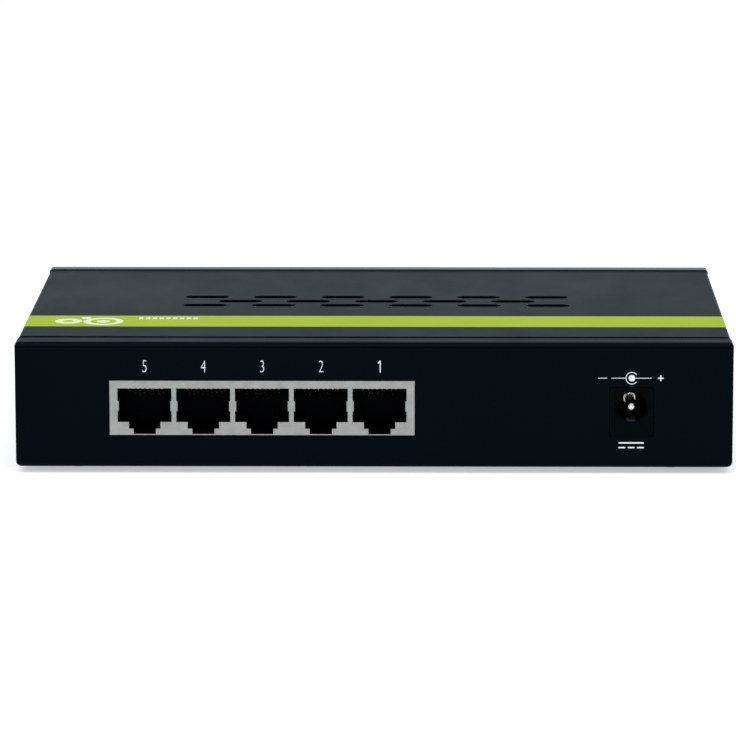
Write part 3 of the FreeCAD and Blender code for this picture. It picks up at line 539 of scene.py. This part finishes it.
def open_ring(u, v, outer, inner, middle, gap, steps=26):
    """Outline of a ring with a gap; middle is the gap's direction, gap its half angle."""
    points = []
    for radius, order in ((outer, range(steps + 1)), (inner, range(steps, -1, -1))):
        for i in order:
            angle = middle + gap + (2 * math.pi - 2 * gap) * i / steps
            points.append((u + radius * math.cos(angle), v + radius * math.sin(angle)))
    return points


def polarity_mark(material):
    """Generic centre-positive symbol over the inlet, direct-current symbol under it."""
    z = TRAY_Z + 19.75 * MM
    line = 0.06 * MM                     # half widths of the strokes
    bold = 0.12 * MM
    ring_x = JACK_X + 0.02 * MM
    shapes = [
        (open_ring(ring_x, z, 1.35 * MM, 1.2 * MM, 0.0, math.radians(40)), []),
        (disc(ring_x, z, 0.7 * MM), []),
        (bar(JACK_X - 7.2 * MM, JACK_X - 5.25 * MM, z - line, z + line), []),
        (bar(JACK_X - 4.3 * MM, ring_x - 1.37 * MM, z - line, z + line), []),
        (bar(JACK_X + 0.75 * MM, JACK_X + 4.2 * MM, z - line, z + line), []),
    ]
    plus = JACK_X + 6.2 * MM
    arm = 0.62 * MM
    shapes.append(([(plus - arm, z - bold), (plus - bold, z - bold), (plus - bold, z - arm),
                    (plus + bold, z - arm), (plus + bold, z - bold), (plus + arm, z - bold),
                    (plus + arm, z + bold), (plus + bold, z + bold), (plus + bold, z + arm),
                    (plus - bold, z + arm), (plus - bold, z + bold), (plus - arm, z + bold)], []))
    printed("polarity_mark", material, on_port_panel, shapes)
    z = TRAY_Z + 5.1 * MM
    near, far = 0.36 * MM, 0.66 * MM     # edges of the strokes, from the symbol's middle
    length = 2.7 * MM
    dash = 0.7 * MM
    shapes = [(bar(JACK_X - length, JACK_X + length, z + near, z + far), [])]
    for i in (-1, 0, 1):
        x = JACK_X + i * 2.0 * MM
        shapes.append((bar(x - dash, x + dash, z - far, z - near), []))
    printed("current_mark", material, on_port_panel, shapes)


def lamp_marks(material):
    """Numbers over the indicator columns and a power symbol over the power lamp."""
    for number in PORTS:
        u = -middle_x("port_%d_light_pipe" % number)
        text_mark("lamp_number_%d" % number, str(number), material, on_lamp_panel, u,
                  TRAY_Z + 21.3 * MM, 2.2 * MM, 0.75)
    u = -middle_x("power_light_pipe")
    v = TRAY_Z + 17.0 * MM
    half = 0.14 * MM
    ring = open_ring(u, v, 1.25 * MM, 0.98 * MM, math.pi / 2, math.radians(34), 22)
    stem = bar(u - half, u + half, v + 0.2 * MM, v + 1.6 * MM)
    printed("power_mark", material, on_lamp_panel, [(ring, []), (stem, [])])


def label_print(material):
    """A plain frame and three rule lines on the underside label, without any wording."""
    low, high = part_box("underside_label")
    margin = 2.0 * MM
    line = 0.25 * MM
    mid_x = (low.x + high.x) / 2
    mid_y = (low.y + high.y) / 2
    half_x = (high.x - low.x) / 2 - margin
    half_y = (high.y - low.y) / 2 - margin

    def on_label(u, v, w):
        return (u, v, low.z + PRINT_SINK - w)

    def box(inset):
        return bar(mid_x - half_x + inset, mid_x + half_x - inset,
                   mid_y - half_y + inset, mid_y + half_y - inset)

    shapes = [(box(0.0), [box(line)])]
    rule_x = half_x - 3 * MM
    for i in (-1, 0, 1):
        y = mid_y + i * 4.5 * MM
        shapes.append((bar(mid_x - rule_x, mid_x + rule_x, y, y + line), []))
    printed("label_print", material, on_label, shapes)


# ---- stage --------------------------------------------------------------------------------

def floor():
    """Pale table that glows faintly, so that the contact shadow stays light."""
    bm = bmesh.new()
    bmesh.ops.create_grid(bm, x_segments=8, y_segments=8, size=4.0)
    mesh = bpy.data.meshes.new("floor")
    bm.to_mesh(mesh)
    bm.free()
    f = Finish("floor_card", (0.8, 0.8, 0.8), 0.9, specular=0.1)
    f.color(f.mix(f.noise(3.0, 2.0), (0.79, 0.79, 0.79), (0.82, 0.82, 0.82)))
    f.set("Emission Color", (1.0, 1.0, 1.0, 1.0))
    f.set("Emission Strength", 0.45)
    mesh.materials.append(f.material)
    piece = bpy.data.objects.new("floor", mesh)
    scene.collection.objects.link(piece)


def area_light(name, location, target, size, power):
    """A rectangular white lamp that points at a target."""
    lamp = bpy.data.lights.new(name, "AREA")
    lamp.shape = "RECTANGLE"
    lamp.size, lamp.size_y = size
    lamp.energy = power
    holder = bpy.data.objects.new(name, lamp)
    holder.location = location
    way = Vector(target) - Vector(location)
    holder.rotation_euler = way.to_track_quat("-Z", "Y").to_euler()
    scene.collection.objects.link(holder)


def lights():
    """Dim surroundings, a wide box overhead, and a low strip far in front."""
    world = bpy.data.worlds.new("studio")
    scene.world = world
    world.use_nodes = True
    background = world.node_tree.nodes["Background"]
    background.inputs["Color"].default_value = (0.78, 0.92, 1.0, 1.0)
    background.inputs["Strength"].default_value = 0.6
    area_light("top_box", (0.0, -0.25, 1.1), (0.0, -0.05, 0.0), (1.9, 0.9), 10.0)
    area_light("front_strip", (0.0, -1.6, 0.33), (0.0, -0.05, 0.02), (1.6, 0.14), 5.0)


def camera():
    """The photograph's viewpoint: slightly above, in front of the port panel."""
    lens = bpy.data.cameras.new("camera")
    lens.sensor_width = 36.0
    lens.lens = 223.4
    lens.shift_x = -0.0328
    lens.clip_start = 0.05
    lens.clip_end = 20.0
    look_down = 10.88                    # degrees
    yaw = 0.45
    holder = bpy.data.objects.new("camera", lens)
    holder.location = (0.01144, -1.0078, 0.2076)
    holder.rotation_euler = (math.radians(90.0 - look_down), 0.0, math.radians(yaw))
    scene.collection.objects.link(holder)
    scene.camera = holder


# ---- all ----------------------------------------------------------------------------------

scene.view_settings.view_transform = "Standard"
camera()
floor()
lights()
dress_nodes(slot_materials())
white = pale_ink("white_ink", (0.8, 0.82, 0.81))
lid_stripe(stripe_ink())
lid_mark(pale_ink("cream_ink", (0.84, 0.88, 0.6)))
# Matte black: painted shade in the lid's pressed dashes, ink for the label's print.
black = dark_ink()
# The dark plates in the lid's pressed dashes are painted shade.
dash_ink(black)
label_print(black)
port_numbers(white)
polarity_mark(white)
lamp_marks(white)
